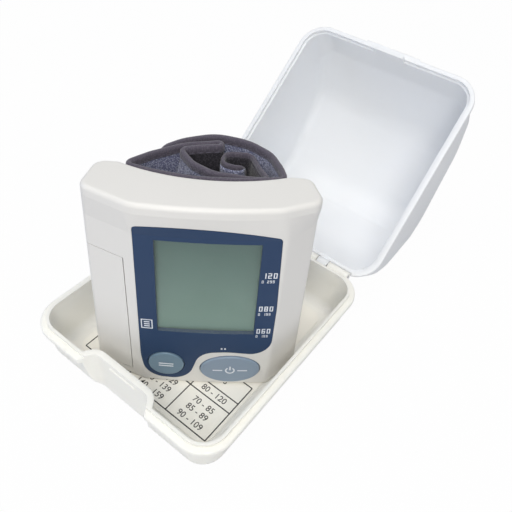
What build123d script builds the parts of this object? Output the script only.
"""Wrist blood pressure monitor with its cuff rolled up behind it, standing in its open hinged case.

Frame: X along the case's hinge, +Y towards the hinge, +Z up, origin at the centre of the tray's underside.
The monitor has its own frame: u to its right, v from its face to its back, w up its face.
"""
import math
import os

from build123d import *

# ---------------------------------------------------------------- case, in millimetres
CASE_W, CASE_D = 84.0, 94.0          # outline at the rim, along X and Y
CASE_R = 10.5                        # corner radius of that outline
CASE_WALL = 2.2
TRAY_H = 18.6                        # to the ledge that the lid rests on
TRAY_DRAFT = 8.5                     # degrees
TRAY_ROUND, TRAY_ROUND_IN = 7.0, 3.5  # rounding at the foot of the walls, outside and inside
TRAY_FLOOR = 1.3
LIP_H, LIP_T = 1.2, 1.0              # inner lip that stands above the ledge
RECESS_W, RECESS_BACK_W = 31.0, 25.0  # thumb recess in the front wall, at its mouth and at its back
RECESS_IN, RECESS_R = 4.6, 4.0
LID_WALL = 1.8
LID_ROUND = 6.0                      # rounding between the lid's top and its sides
LID_TAB_W, LID_TAB_OUT = 27.0, 1.6
BEAD_T, BEAD_H = 1.1, 2.2            # bead round both halves' rims
LID_OPEN = 139.6                     # degrees from closed
HINGE_Y, HINGE_Z = 48.8, TRAY_H - 1.2  # hinge axis
PIN_R, KNUCKLE_R = 0.8, 2.0
KNUCKLE_X, KNUCKLE_W = 22.1, 4.8     # middle and width of the lid's knuckles
LUG_GAP = 0.4
LUG_W = (4.4, 9.6)                   # the tray's inner and outer knuckle beside each of them
TURN_ROOM = 0.6                      # hollow round a knuckle in the other half's wall
CARD_W, CARD_D, CARD_T = 64.5, 74.5, 0.25  # printed card on the tray floor

# ---------------------------------------------------------------- monitor, in millimetres
MON_AT = (16.6, -20.2)               # where its front foot stands in the tray
MON_YAW, MON_LEAN = 38.0, 6.0        # degrees
BODY_H = 81.8                        # to the top of the cap
CAP_T = 3.4
FLARE_W, CAP_W = 70.0, 78.4          # where the body starts to flare, and where the cap starts
WALL = 1.8
BACK_R, BACK_U, BACK_V = 62.0, 1.8, 13.6   # wrist curve: radius, and its deepest point
PANEL_T = 1.4
PANEL_PROUD = 0.15
LCD_U0, LCD_U1, LCD_W0, LCD_W1 = -15.8, 16.8, 28.2, 68.4
START_AT, START_R = (9.6, 9.2), (10.7, 7.0)
RECALL_AT, RECALL_R = (-13.2, 11.0), (6.3, 5.9)
KEY_PROUD = 0.7
KEY_GAP = 0.3
BOARD_V, BOARD_T = 6.8, 1.0
STRIP_W = (29.6, 67.0)               # heights of the contact strips
PUMP_AT = (19.8, 9.3)
CELL_R, CELL_L, CELL_W0 = 5.2, 44.5, 18.6  # AAA cells
CELL_AT = ((-18.3, 9.4), (-28.6, 13.45))
COVER_U, COVER_V, COVER_W0, COVER_W1 = -25.6, 16.4, 4.4, 58.6
COVER_GAP = 0.25
SEAM_T, SEAM_W = 0.9, 1.3            # thinned edge of the cover, and the ledge that it lies on
SCREW_AT = ((-22.9, 7.6), (22.4, 7.2), (-12.0, 73.0), (15.0, 73.0))
SCREW_R, SCREW_HEAD_R = 0.75, 1.45

# ---------------------------------------------------------------- cuff, in millimetres
CUFF_W0, CUFF_W1 = 9.0, 80.4
BAND_T, BINDING_T, BINDING_H = 2.2, 2.7, 3.2
# The band's route, seen from above: free end, over the back, along the wrist curve, folds, inner roll.
CUFF_ROUTE = [
    (-20.0, 35.2), (-10.6, 42.1), (0.4, 45.0), (11.8, 41.8), (19.6, 33.8), (22.4, 25.0),
    (23.4, 18.9), (10.0, 16.35), (-6.0, 16.05), (-18.5, 19.15), (-30.6, 24.0), (-20.4, 31.2),
    (-9.4, 37.9), (4.4, 41.1), (4.2, 37.4), (-11.9, 32.2), (-7.2, 24.7), (0.2, 19.9),
    (10.5, 19.85), (18.4, 21.55), (16.0, 31.6), (10.2, 36.4), (4.4, 33.0), (2.2, 26.4),
    (11.0, 24.8), (12.6, 30.4), (8.2, 31.0)]
CUFF_BENDS = [14, 16, 16, 12, 14, 2.0, 30, 40, 30, 1.8, 14, 20, 1.6, 1.6, 1.7, 10, 9,
              16, 2.2, 5, 4, 3.6, 3.2, 2.8, 2.0]


def place_monitor(solid):
    """Stand a solid of the monitor's own frame in the tray."""
    at = Location((MON_AT[0], MON_AT[1], TRAY_FLOOR + CARD_T))
    return at * Rot(0, 0, MON_YAW) * Rot(-MON_LEAN, 0, 0) * solid


def group(solids):
    return Compound(list(solids))


def write(name, solid):
    export_step(solid, f"parts/{name}.step")


def block(u0, u1, v0, v1, w0, w1):
    return Pos((u0 + u1) / 2, (v0 + v1) / 2, (w0 + w1) / 2) * Box(u1 - u0, v1 - v0, w1 - w0)


# ---------------------------------------------------------------- case

LUG_X = (KNUCKLE_X - KNUCKLE_W / 2 - LUG_GAP - LUG_W[0] / 2,
         KNUCKLE_X + KNUCKLE_W / 2 + LUG_GAP + LUG_W[1] / 2)


def rim_plate(inset, z, height, draft=0.0):
    """A rounded rectangle of the case's outline, inset and extruded, with drafted sides."""
    radius = max(CASE_R - inset, 1.0)
    outline = RectangleRounded(CASE_W - 2 * inset, CASE_D - 2 * inset, radius)
    return extrude(Pos(0, 0, z) * outline, height, taper=draft)


def bead(z):
    """The rounded bead that stands proud of a rim."""
    plate = rim_plate(-BEAD_T, z, BEAD_H)
    rims = plate.faces().filter_by(Axis.Z)
    return fillet(rims.edges(), 0.6)


def case_tray():
    shell = Rot(180, 0, 0) * rim_plate(0, -TRAY_H, TRAY_H, TRAY_DRAFT)
    shell = fillet(shell.faces().sort_by(Axis.Z)[0].edges(), TRAY_ROUND) + bead(TRAY_H - BEAD_H)
    lip = rim_plate(CASE_WALL - LIP_T, TRAY_H, LIP_H)
    inside = Rot(180, 0, 0) * rim_plate(CASE_WALL, -TRAY_H, TRAY_H - TRAY_FLOOR, TRAY_DRAFT)
    inside = fillet(inside.faces().sort_by(Axis.Z)[0].edges(), TRAY_ROUND_IN)
    inside += rim_plate(CASE_WALL, TRAY_H, LIP_H + 1)
    # Thumb recess: the front wall steps in, inside and out.
    tray = (shell + lip) - (inside - recess(CASE_WALL)) - recess(0)
    tray += Pos(0, -CASE_D / 2 + RECESS_IN, TRAY_H - 1.8) * Rot(0, 90, 0) * Cylinder(0.5, 12)
    # Hinge lugs: outer pair on each side, with their webs down the back wall.
    for side in (-1, 1):
        tray -= relief(side * KNUCKLE_X, KNUCKLE_W)
        for x, width in zip(LUG_X, LUG_W):
            tray += hinge_lug(side * x, width, -1, (-2.4, -3.2, -6.0))
    return tray - Pos(0, HINGE_Y, HINGE_Z) * Rot(0, 90, 0) * Cylinder(PIN_R + 0.02, 80)


def recess(grow):
    """The thumb recess, with flared ends and rounded corners, grown all round."""
    back, front = -CASE_D / 2 + RECESS_IN, -CASE_D / 2 - 6.0
    flare = (RECESS_W - RECESS_BACK_W) / 2 / RECESS_IN
    far, near = RECESS_BACK_W / 2, RECESS_W / 2 + 6.0 * flare
    new, radii = offset_polyline([(near, front), (far, back), (-far, back), (-near, front)],
                                 [RECESS_R, RECESS_R], -grow)
    outline = make_face(FilletPolyline(*new, radius=radii) + Line(new[-1], new[0]))
    return extrude(Pos(0, 0, -1) * outline, TRAY_H + LIP_H + 2)


def relief(x, width):
    """Room in one half's wall for the other half's knuckle to turn."""
    return Pos(x, HINGE_Y, HINGE_Z) * Rot(0, 90, 0) * Cylinder(KNUCKLE_R + TURN_ROOM, width + 2 * LUG_GAP)


def hinge_lug(x, width, way, foot):
    """A knuckle round the hinge axis, with a web that runs down (-1) or up (+1) to its foot in the wall."""
    near, far, drop = foot
    web = make_face(Polyline((-KNUCKLE_R, 0), (KNUCKLE_R * 0.9, 0), (near, drop), (far, drop), (-KNUCKLE_R, 0)))
    lug = Cylinder(KNUCKLE_R, width) + extrude(web, width / 2, both=True)
    turned = Plane.YZ * lug
    if way > 0:
        turned = mirror(turned, about=Plane.XY)
    return Pos(x, HINGE_Y, HINGE_Z) * turned


def lid_profile(inset):
    """Side outline of the closed lid: a bowed hinge side, a crease, a sloping top and a rounded front."""
    pts = [(51.0, -1.0), (37.8, 27.0), (18.4, 47.2), (5.7, 51.1), (-32.3, 39.4), (-48.5, 12.6), (-49.2, -1.0)]
    bends = [38.0, 8.0, 16.0, 18.0, 10.0]
    return offset_polyline(pts, bends, inset)


def offset_polyline(pts, bends, inset):
    """Shift a polyline to its left by inset, keep its rounded corners concentric, and return both lists."""
    n = len(pts)
    dirs = []
    for a, b in zip(pts, pts[1:]):
        length = math.hypot(b[0] - a[0], b[1] - a[1])
        dirs.append(((b[0] - a[0]) / length, (b[1] - a[1]) / length))
    new = [(pts[0][0] - dirs[0][1] * inset, pts[0][1] + dirs[0][0] * inset)]
    radii = []
    for i in range(1, n - 1):
        (ax, ay), (bx, by) = dirs[i - 1], dirs[i]
        cross = ax * by - ay * bx
        tan_half = math.tan(math.atan2(cross, ax * bx + ay * by) / 2)
        new.append((pts[i][0] - inset * (ay + ax * tan_half), pts[i][1] + inset * (ax - ay * tan_half)))
        radii.append(bends[i - 1] - inset * math.copysign(1.0, cross))
    new.append((pts[-1][0] - dirs[-1][1] * inset, pts[-1][1] + dirs[-1][0] * inset))
    return new, radii


def lid_form(inset):
    pts, bends = lid_profile(inset)
    side = Plane.YZ * make_face(FilletPolyline(*pts, radius=bends) + Line(pts[-1], pts[0]))
    hump = extrude(side, CASE_W, both=True)
    return hump & rim_plate(inset, 0, 60, 3.0)


def rounded_lid(form, radius):
    return fillet(form.edges().filter_by(lambda e: e.center().Z > 14 and abs(e.center().X) > 30), radius)


def case_lid():
    """The lid in its closed place, rim down on the tray's ledge."""
    outer = rounded_lid(lid_form(0.0), LID_ROUND)
    inner = rounded_lid(lid_form(LID_WALL), LID_ROUND - LID_WALL)
    rebate = rim_plate(CASE_WALL - LIP_T - 0.3, -1, 1 + LIP_H + 0.3)
    lid = outer + bead(0) - inner - rebate
    front = -CASE_D / 2
    tab = block(-LID_TAB_W / 2, LID_TAB_W / 2, front - LID_TAB_OUT, front + 0.8, 0, 2.8)
    tab = fillet(tab.edges().filter_by(Axis.Z).group_by(Axis.Y)[0], 1.0)
    tongue = block(-7, 7, front + 0.9, front + 2.3, -3.0, 1.8)
    lid = Pos(0, 0, TRAY_H) * (lid + tab + tongue)
    for side in (-1, 1):
        for x, width in zip(LUG_X, LUG_W):
            lid -= relief(side * x, width)
        lid += hinge_lug(side * KNUCKLE_X, KNUCKLE_W, 1, (-2.5, -3.3, -6.5))
    return lid - Pos(0, HINGE_Y, HINGE_Z) * Rot(0, 90, 0) * Cylinder(PIN_R + 0.05, 80)


def opened(solid):
    """Swing a solid of the lid about the hinge, from closed to open."""
    axis = Axis((0, HINGE_Y, HINGE_Z), (1, 0, 0))
    return solid.rotate(axis, -LID_OPEN)


def hinge_pins():
    start, end = LUG_X[0] - LUG_W[0] / 2, LUG_X[1] + LUG_W[1] / 2
    pin = Rot(0, 90, 0) * Cylinder(PIN_R, end - start)
    return group(Pos(side * (start + end) / 2, HINGE_Y, HINGE_Z) * pin for side in (-1, 1))


def chart_card():
    card = extrude(RectangleRounded(CARD_W, CARD_D, 5.0), CARD_T)
    return Pos(0, 0, TRAY_FLOOR) * card


# ---------------------------------------------------------------- monitor shell


def arc_v(u):
    """Where the wrist curve is at u."""
    return BACK_V + BACK_R - math.sqrt(BACK_R ** 2 - (u - BACK_U) ** 2)


def section(w, corners, front_v, radii):
    """One horizontal outline of the body: eight corners, two of its sides being arcs."""
    lf, kl, kr, rf, rr, rc, lc, lr = corners
    outline = [
        Line(lf, kl),
        ThreePointArc(kl, ((kl[0] + kr[0]) / 2, front_v), kr),
        Line(kr, rf),
        Line(rf, rr),
        Line(rr, rc),
        ThreePointArc(rc, (BACK_U, BACK_V), lc),
        Line(lc, lr),
        Line(lr, lf)]
    face = make_face(Curve() + outline)
    for corner, radius in zip(corners, radii):
        near = face.vertices().sort_by_distance((corner[0], corner[1], 0))[0]
        face = fillet(near, radius)
    return Pos(0, 0, w) * face


def face_v(w):
    """Where the middle of the body's face is at height w."""
    return 1.7 - 3.2 * w / 80.0


def body_section(w):
    """The body keeps its width down to its foot, and its face leans in."""
    t = 1 - w / 80.0
    lc, rc = (-28.5, arc_v(-28.5)), (24.5, arc_v(24.5))
    corners = [(-38.4 - 1.1 * t, 9.0 + 0.9 * t), (-22.6 + 1.2 * t, -0.4 + 3.1 * t),
               (24.2 - 0.8 * t, -0.2 + 2.7 * t), (34.2 + 0.3 * t, 9.6 + 3.0 * t),
               (32.6, rc[1] - 0.4), rc, lc, (-36.8, lc[1])]
    return section(w, corners, face_v(w), (2.6, 3.2, 3.2, 2.6, 3.0, 1.2, 1.2, 3.4))


def cap_section(w, grow):
    """The cap's fuller outline, with a soft sweep from end to end."""
    lc, rc = (-28.5, arc_v(-28.5)), (24.5, arc_v(24.5))
    corners = [(-38.4, 7.2), (-22.4, -1.9), (22.0, -1.0), (34.6, 4.8),
               (31.6, rc[1] - 0.2), rc, lc, (-35.8, lc[1] + 0.1)]
    face = section(w, corners, -3.0, (4.6, 12.0, 12.0, 4.6, 4.0, 1.2, 1.2, 4.2))
    return offset(face, grow) if grow else face


def above_floor(solid, gap):
    """Cut a solid of the monitor's frame level with the tray's floor, a gap above it."""
    below = Rot(MON_LEAN, 0, 0) * Pos(0, 0, gap - 30) * Box(160, 160, 60)
    return solid - below


def body_form():
    trunk = loft([body_section(-2), body_section(FLARE_W)], ruled=True)
    flare = loft([body_section(FLARE_W), cap_section(CAP_W, 0)], ruled=True)
    cap = extrude(cap_section(CAP_W, 0), CAP_T)
    cap = fillet(cap.faces().sort_by(Axis.Z)[-1].edges(), 1.5)
    form = above_floor(trunk + flare + cap, 0)
    return fillet(form.faces().sort_by(Axis.Z)[0].edges(), 1.2)


def within(depth):
    """The room inside the body, a depth behind its skin."""
    trunk = loft([offset(body_section(-2), -depth), offset(body_section(76.0), -depth)], ruled=True)
    return above_floor(trunk, depth)


def cavity_form():
    return within(WALL) + block(-28.2, 24.2, 9.0, 30.0, 4.5, 75.5)


def ellipse_prism(at, radii, grow, v0, v1):
    face = Plane.XZ * Pos(at[0], at[1]) * Ellipse(radii[0] + grow, radii[1] + grow)
    return Pos(0, v1, 0) * extrude(face, v1 - v0)


def panel_outline(grow):
    """The blue panel: square top corners, one round foot and a lobe round the small button."""
    pts = [(-21.9, 73.2), (-22.1, 14.0), (-20.4, 3.2), (-5.6, 2.8), (-1.4, 17.6), (8.0, 18.6),
           (23.4, 16.8), (23.6, 40.0), (22.6, 70.6)]
    bends = [30.0, 7.6, 7.6, 7.0, 24.0, 7.0, 60.0]
    new, radii = offset_polyline(pts, bends, -grow)
    top = ThreePointArc(new[-1], (1.6, 73.8 + grow), new[0])
    face = make_face(FilletPolyline(*new, radius=radii) + top)
    corners = [face.vertices().sort_by_distance((p[0], p[1], 0))[0] for p in (new[0], new[-1])]
    return fillet(corners, 1.6)


def panel_prism(grow):
    return Pos(0, 14, 0) * extrude(Plane.XZ * panel_outline(grow), 34)


def lcd_prism(grow, v0, v1):
    return block(LCD_U0 - grow, LCD_U1 + grow, v0, v1, LCD_W0 - grow, LCD_W1 + grow)


def front_layer(form, proud, depth):
    """The skin of the body's face, from proud of it to a depth behind it."""
    return (Pos(0, -proud, 0) * form) - (Pos(0, depth, 0) * form)


def cover_box(gap):
    return block(-60, COVER_U - gap, -20, COVER_V - gap, COVER_W0 + gap, COVER_W1 - gap)


def monitor_shells():
    """Front housing, battery cover, back cover, blue panel, clear window and the two keys."""
    form, cavity = body_form(), cavity_form()
    shell = form - cavity
    cover = (shell & cover_box(COVER_GAP)) - (within(SEAM_T) - cover_box(SEAM_W + 0.4))
    for u, v in CELL_AT:
        cover -= Pos(u, v, CELL_W0 + CELL_L / 2) * Cylinder(CELL_R + 0.3, CELL_L + 3.0)
    # The cover's thinned edge lies on a ledge of the housing
    ledge = (within(SEAM_T + 0.15) - cavity) & (cover_box(-0.2) - cover_box(SEAM_W))
    front = (shell - cover_box(0)) + ledge
    # Panel recess and openings behind it
    skin = front_layer(form, PANEL_PROUD, PANEL_T)
    front -= panel_prism(0.1) & (Pos(0, -5, 0) * form) - (Pos(0, PANEL_T + 0.05, 0) * form)
    front -= lcd_prism(1.6, -10, 8)
    front -= ellipse_prism(START_AT, START_R, KEY_GAP, -10, 8)
    front -= ellipse_prism(RECALL_AT, RECALL_R, KEY_GAP, -10, 8)
    panel = panel_prism(0) & skin
    window = panel & lcd_prism(-0.05, -10, 10)
    panel -= lcd_prism(0, -10, 10)
    panel -= ellipse_prism(RECALL_AT, RECALL_R, KEY_GAP, -10, 8)
    keys = [key(form, START_AT, START_R), key(form, RECALL_AT, RECALL_R)]
    # Four bosses take the screws that hold the curved back cover in its window
    plate = back_plate()
    for u, w in SCREW_AT:
        back = arc_v(u) - WALL - 1.0
        boss = rod(u, w, 1.5, -8, back) & (Pos(0, PANEL_T + 0.2, 0) * form)
        boss -= rod(u, w, SCREW_R - 0.05, back - 5.4, back + 1)
        front = front + (boss - cover_box(0))
        plate -= rod(u, w, SCREW_R + 0.1, back - 1, back + 5)
        plate -= rod(u, w, SCREW_HEAD_R + 0.15, arc_v(u) - 1.05, arc_v(u) + 5)
    return front, cover, panel, window, keys, plate


def rod(u, w, radius, v0, v1):
    """A cylinder along v."""
    return Pos(u, (v0 + v1) / 2, w) * Rot(90, 0, 0) * Cylinder(radius, v1 - v0)


def back_plate():
    outer = band_face(BACK_R, BACK_R + WALL)
    return Pos(0, 0, 4.65) * extrude(outer, 75.35 - 4.65)


def band_face(r_in, r_out, u0=-28.05, u1=24.05):
    """A strip of the wrist curve between two radii."""
    centre = (BACK_U, BACK_V + BACK_R)

    def on(r, u):
        return (u, centre[1] - math.sqrt(r ** 2 - (u - BACK_U) ** 2))

    inner = ThreePointArc(on(r_in, u0), on(r_in, BACK_U), on(r_in, u1))
    outer = ThreePointArc(on(r_out, u1), on(r_out, BACK_U), on(r_out, u0))
    return make_face(Curve() + [inner, Line(on(r_in, u1), on(r_out, u1)), outer,
                                Line(on(r_out, u0), on(r_in, u0))])


def key(form, at, radii):
    """A domed oval key, proud of the face, with a flange behind the wall."""
    head = ellipse_prism(at, radii, 0, -10, 4.2) & (Pos(0, -KEY_PROUD, 0) * form)
    head = fillet(head.edges().group_by(Axis.Y)[0], 0.5)
    flange = ellipse_prism(at, radii, 0.7, -10, 8) & front_layer(form, -WALL - 0.35, WALL + 1.1)
    flange = flange & block(-30, 20.4, -10, 10, 3.1, 40)
    stem = ellipse_prism(at, (1.8, 1.8), 0, 3.6, 5.0)
    return head + flange + stem


# ---------------------------------------------------------------- inside the monitor


def lcd_parts():
    glass = lcd_prism(1.3, 2.75, 4.35)
    holder = block(-14.6, 15.2, 4.38, 5.38, LCD_W0 - 1.3, LCD_W1 + 1.3) - lcd_prism(-3.6, 4, 6)
    for w in STRIP_W:
        holder -= block(-11.8, 13.6, 4, 6, w - 1.0, w + 1.0)
    strips = group(block(-11.6, 13.4, 4.37, BOARD_V - 0.02, w - 0.9, w + 0.9) for w in STRIP_W)
    return glass, holder, strips


def main_board():
    board = block(-12.0, 14.0, BOARD_V, BOARD_V + BOARD_T, 14.0, 70.4)
    return board + block(-20.6, 20.0, BOARD_V, BOARD_V + BOARD_T, 4.4, 14.6)


def board_parts():
    back = BOARD_V + BOARD_T + 0.02
    chip = block(-8.0, 3.0, back, back + 1.4, 44.0, 55.0)
    sensor = block(5.6, 12.6, back, back + 2.6, 46.0, 53.0) \
        + Pos(9.1, back + 3.2, 49.5) * Rot(90, 0, 0) * Cylinder(1.2, 1.4)
    buzzer = Pos(7.6, back + 1.5, 33.0) * Rot(90, 0, 0) * Cylinder(4.6, 3.0)
    switches = []
    for at in (START_AT, RECALL_AT):
        body = block(at[0] - 2.2, at[0] + 2.2, 5.95, BOARD_V - 0.02, at[1] - 2.2, at[1] + 2.2)
        switches.append(body)
    return chip, sensor, buzzer, group(switches)


def air_parts():
    u, v = PUMP_AT
    motor = Pos(u, v, 48.0) * Cylinder(4.6, 20.0)
    head = Pos(u, v, 34.0) * Cylinder(4.8, 7.6) + Pos(u, v, 29.4) * Cylinder(1.1, 2.0)
    valve = block(u - 3.2, u + 3.2, v - 2.8, v + 2.8, 16.6, 22.6) + Pos(u, v, 23.6) * Cylinder(1.1, 2.2)
    tube = Pos(u, v, 26.5) * (Cylinder(2.0, 6.4) - Cylinder(1.15, 6.6))
    return motor, head, valve, tube - Pos(u, v, 18.0) * Cylinder(6, 9.3) - Pos(u, v, 35.0) * Cylinder(6, 9.7)


def battery_parts():
    cells, contacts = [], []
    for i, (u, v) in enumerate(CELL_AT):
        can = Pos(u, v, CELL_W0 + 21.8) * Cylinder(CELL_R, 43.6)
        can = fillet(can.edges(), 0.5)
        way = 1 if i == 0 else -1
        nub = Pos(u, v, CELL_W0 + 21.8 + way * 22.2) * Cylinder(1.9, 0.9)
        cells.append(can + nub)
        contacts.append(Pos(u, v, CELL_W0 - 1.6) * Cylinder(3.0, 0.5))
        contacts.append(Pos(u, v, CELL_W0 + CELL_L + 0.2) * Cylinder(3.0, 0.5))
    shelves = []
    for w in (CELL_W0 - 3.0, CELL_W0 + CELL_L + 0.7):
        shelf = extrude(offset(body_section(w), -WALL - 0.3), 1.0)
        shelves.append(shelf & block(-40, -12.6, 5.7, 16.0, w - 1, w + 2))
    spine = block(-13.0, -12.4, 8.4, 13.0, CELL_W0 - 3.0, CELL_W0 + CELL_L + 1.7)
    return group(cells), group(contacts), shelves[0] + shelves[1] + spine


def screws():
    return group(rod(u, w, SCREW_R - 0.07, arc_v(u) - 7.0, arc_v(u) - 0.9)
                 + rod(u, w, SCREW_HEAD_R, arc_v(u) - 1.0, arc_v(u) - 0.1) for u, w in SCREW_AT)


# ---------------------------------------------------------------- cuff


def ribbon(route, bends, thick):
    """A strip of even thickness along a rounded route, as one closed outline."""
    left, left_r = offset_polyline(route, bends, thick / 2)
    right, right_r = offset_polyline(route, bends, -thick / 2)
    edge_a = FilletPolyline(*left, radius=left_r)
    edge_b = FilletPolyline(*right, radius=right_r)
    return make_face(Curve() + [edge_a, Line(left[-1], right[-1]), edge_b, Line(right[0], left[0])])


def route_points(step=0.5):
    """Points along the rounded route, and how far along it each one is."""
    wire = FilletPolyline(*CUFF_ROUTE, radius=CUFF_BENDS)
    length = wire.length
    count = int(length / step)
    return [(wire.position_at(i / count), i * length / count) for i in range(count + 1)], length


def least_gap(thick):
    pts, length = route_points()
    best = 1e9
    for i, (p, a) in enumerate(pts):
        for q, b in pts[i + 1:]:
            if b - a > 7.0:
                best = min(best, (p - q).length)
    return best - thick, length


def cuff_parts():
    band_face_2d = ribbon(CUFF_ROUTE, CUFF_BENDS, BAND_T)
    edge_face = ribbon(CUFF_ROUTE, CUFF_BENDS, BINDING_T)
    band = Pos(0, 0, CUFF_W0 + BINDING_H) * extrude(band_face_2d, CUFF_W1 - CUFF_W0 - 2 * BINDING_H)
    low = Pos(0, 0, CUFF_W0) * extrude(edge_face, BINDING_H)
    high = Pos(0, 0, CUFF_W1 - BINDING_H) * extrude(edge_face, BINDING_H)
    return band, group([low, high])


def cuff_retainer():
    """The curved frame that clamps the cuff to the back cover."""
    plate = Pos(0, 0, 16.0) * extrude(band_face(BACK_R - 0.6, BACK_R - 0.05, -14.0, 15.0), 50.0)
    window = block(-8.0, 9.0, 5, 30, 26.0, 56.0)
    return plate - window


# ---------------------------------------------------------------- write the parts


def main():
    os.makedirs("parts", exist_ok=True)
    gap, length = least_gap(BINDING_T)
    print(f"cuff route {length:.1f} mm long, least gap between its layers {gap:.2f} mm")

    write("case_tray", case_tray())
    write("case_lid", opened(case_lid()))
    write("hinge_pins", hinge_pins())
    write("chart_card", chart_card())

    front, cover, panel, window, keys, plate = monitor_shells()
    glass, holder, strips = lcd_parts()
    chip, sensor, buzzer, switches = board_parts()
    motor, head, valve, tube = air_parts()
    cells, contacts, cradle = battery_parts()
    band, binding = cuff_parts()
    monitor = {
        "front_housing": front, "battery_cover": cover, "display_panel": panel,
        "display_window": window, "start_button": keys[0], "recall_button": keys[1],
        "back_cover": plate, "housing_screws": screws(), "lcd_glass": glass, "lcd_holder": holder,
        "lcd_connectors": strips, "main_board": main_board(), "controller_chip": chip,
        "pressure_sensor": sensor, "buzzer": buzzer, "key_switches": switches, "pump_motor": motor,
        "pump_head": head, "release_valve": valve, "air_tube": tube, "battery_cells": cells,
        "battery_contacts": contacts, "battery_cradle": cradle, "cuff_retainer": cuff_retainer(),
        "cuff_band": band, "cuff_binding": binding}
    for name, solid in monitor.items():
        write(name, place_monitor(solid))


main()
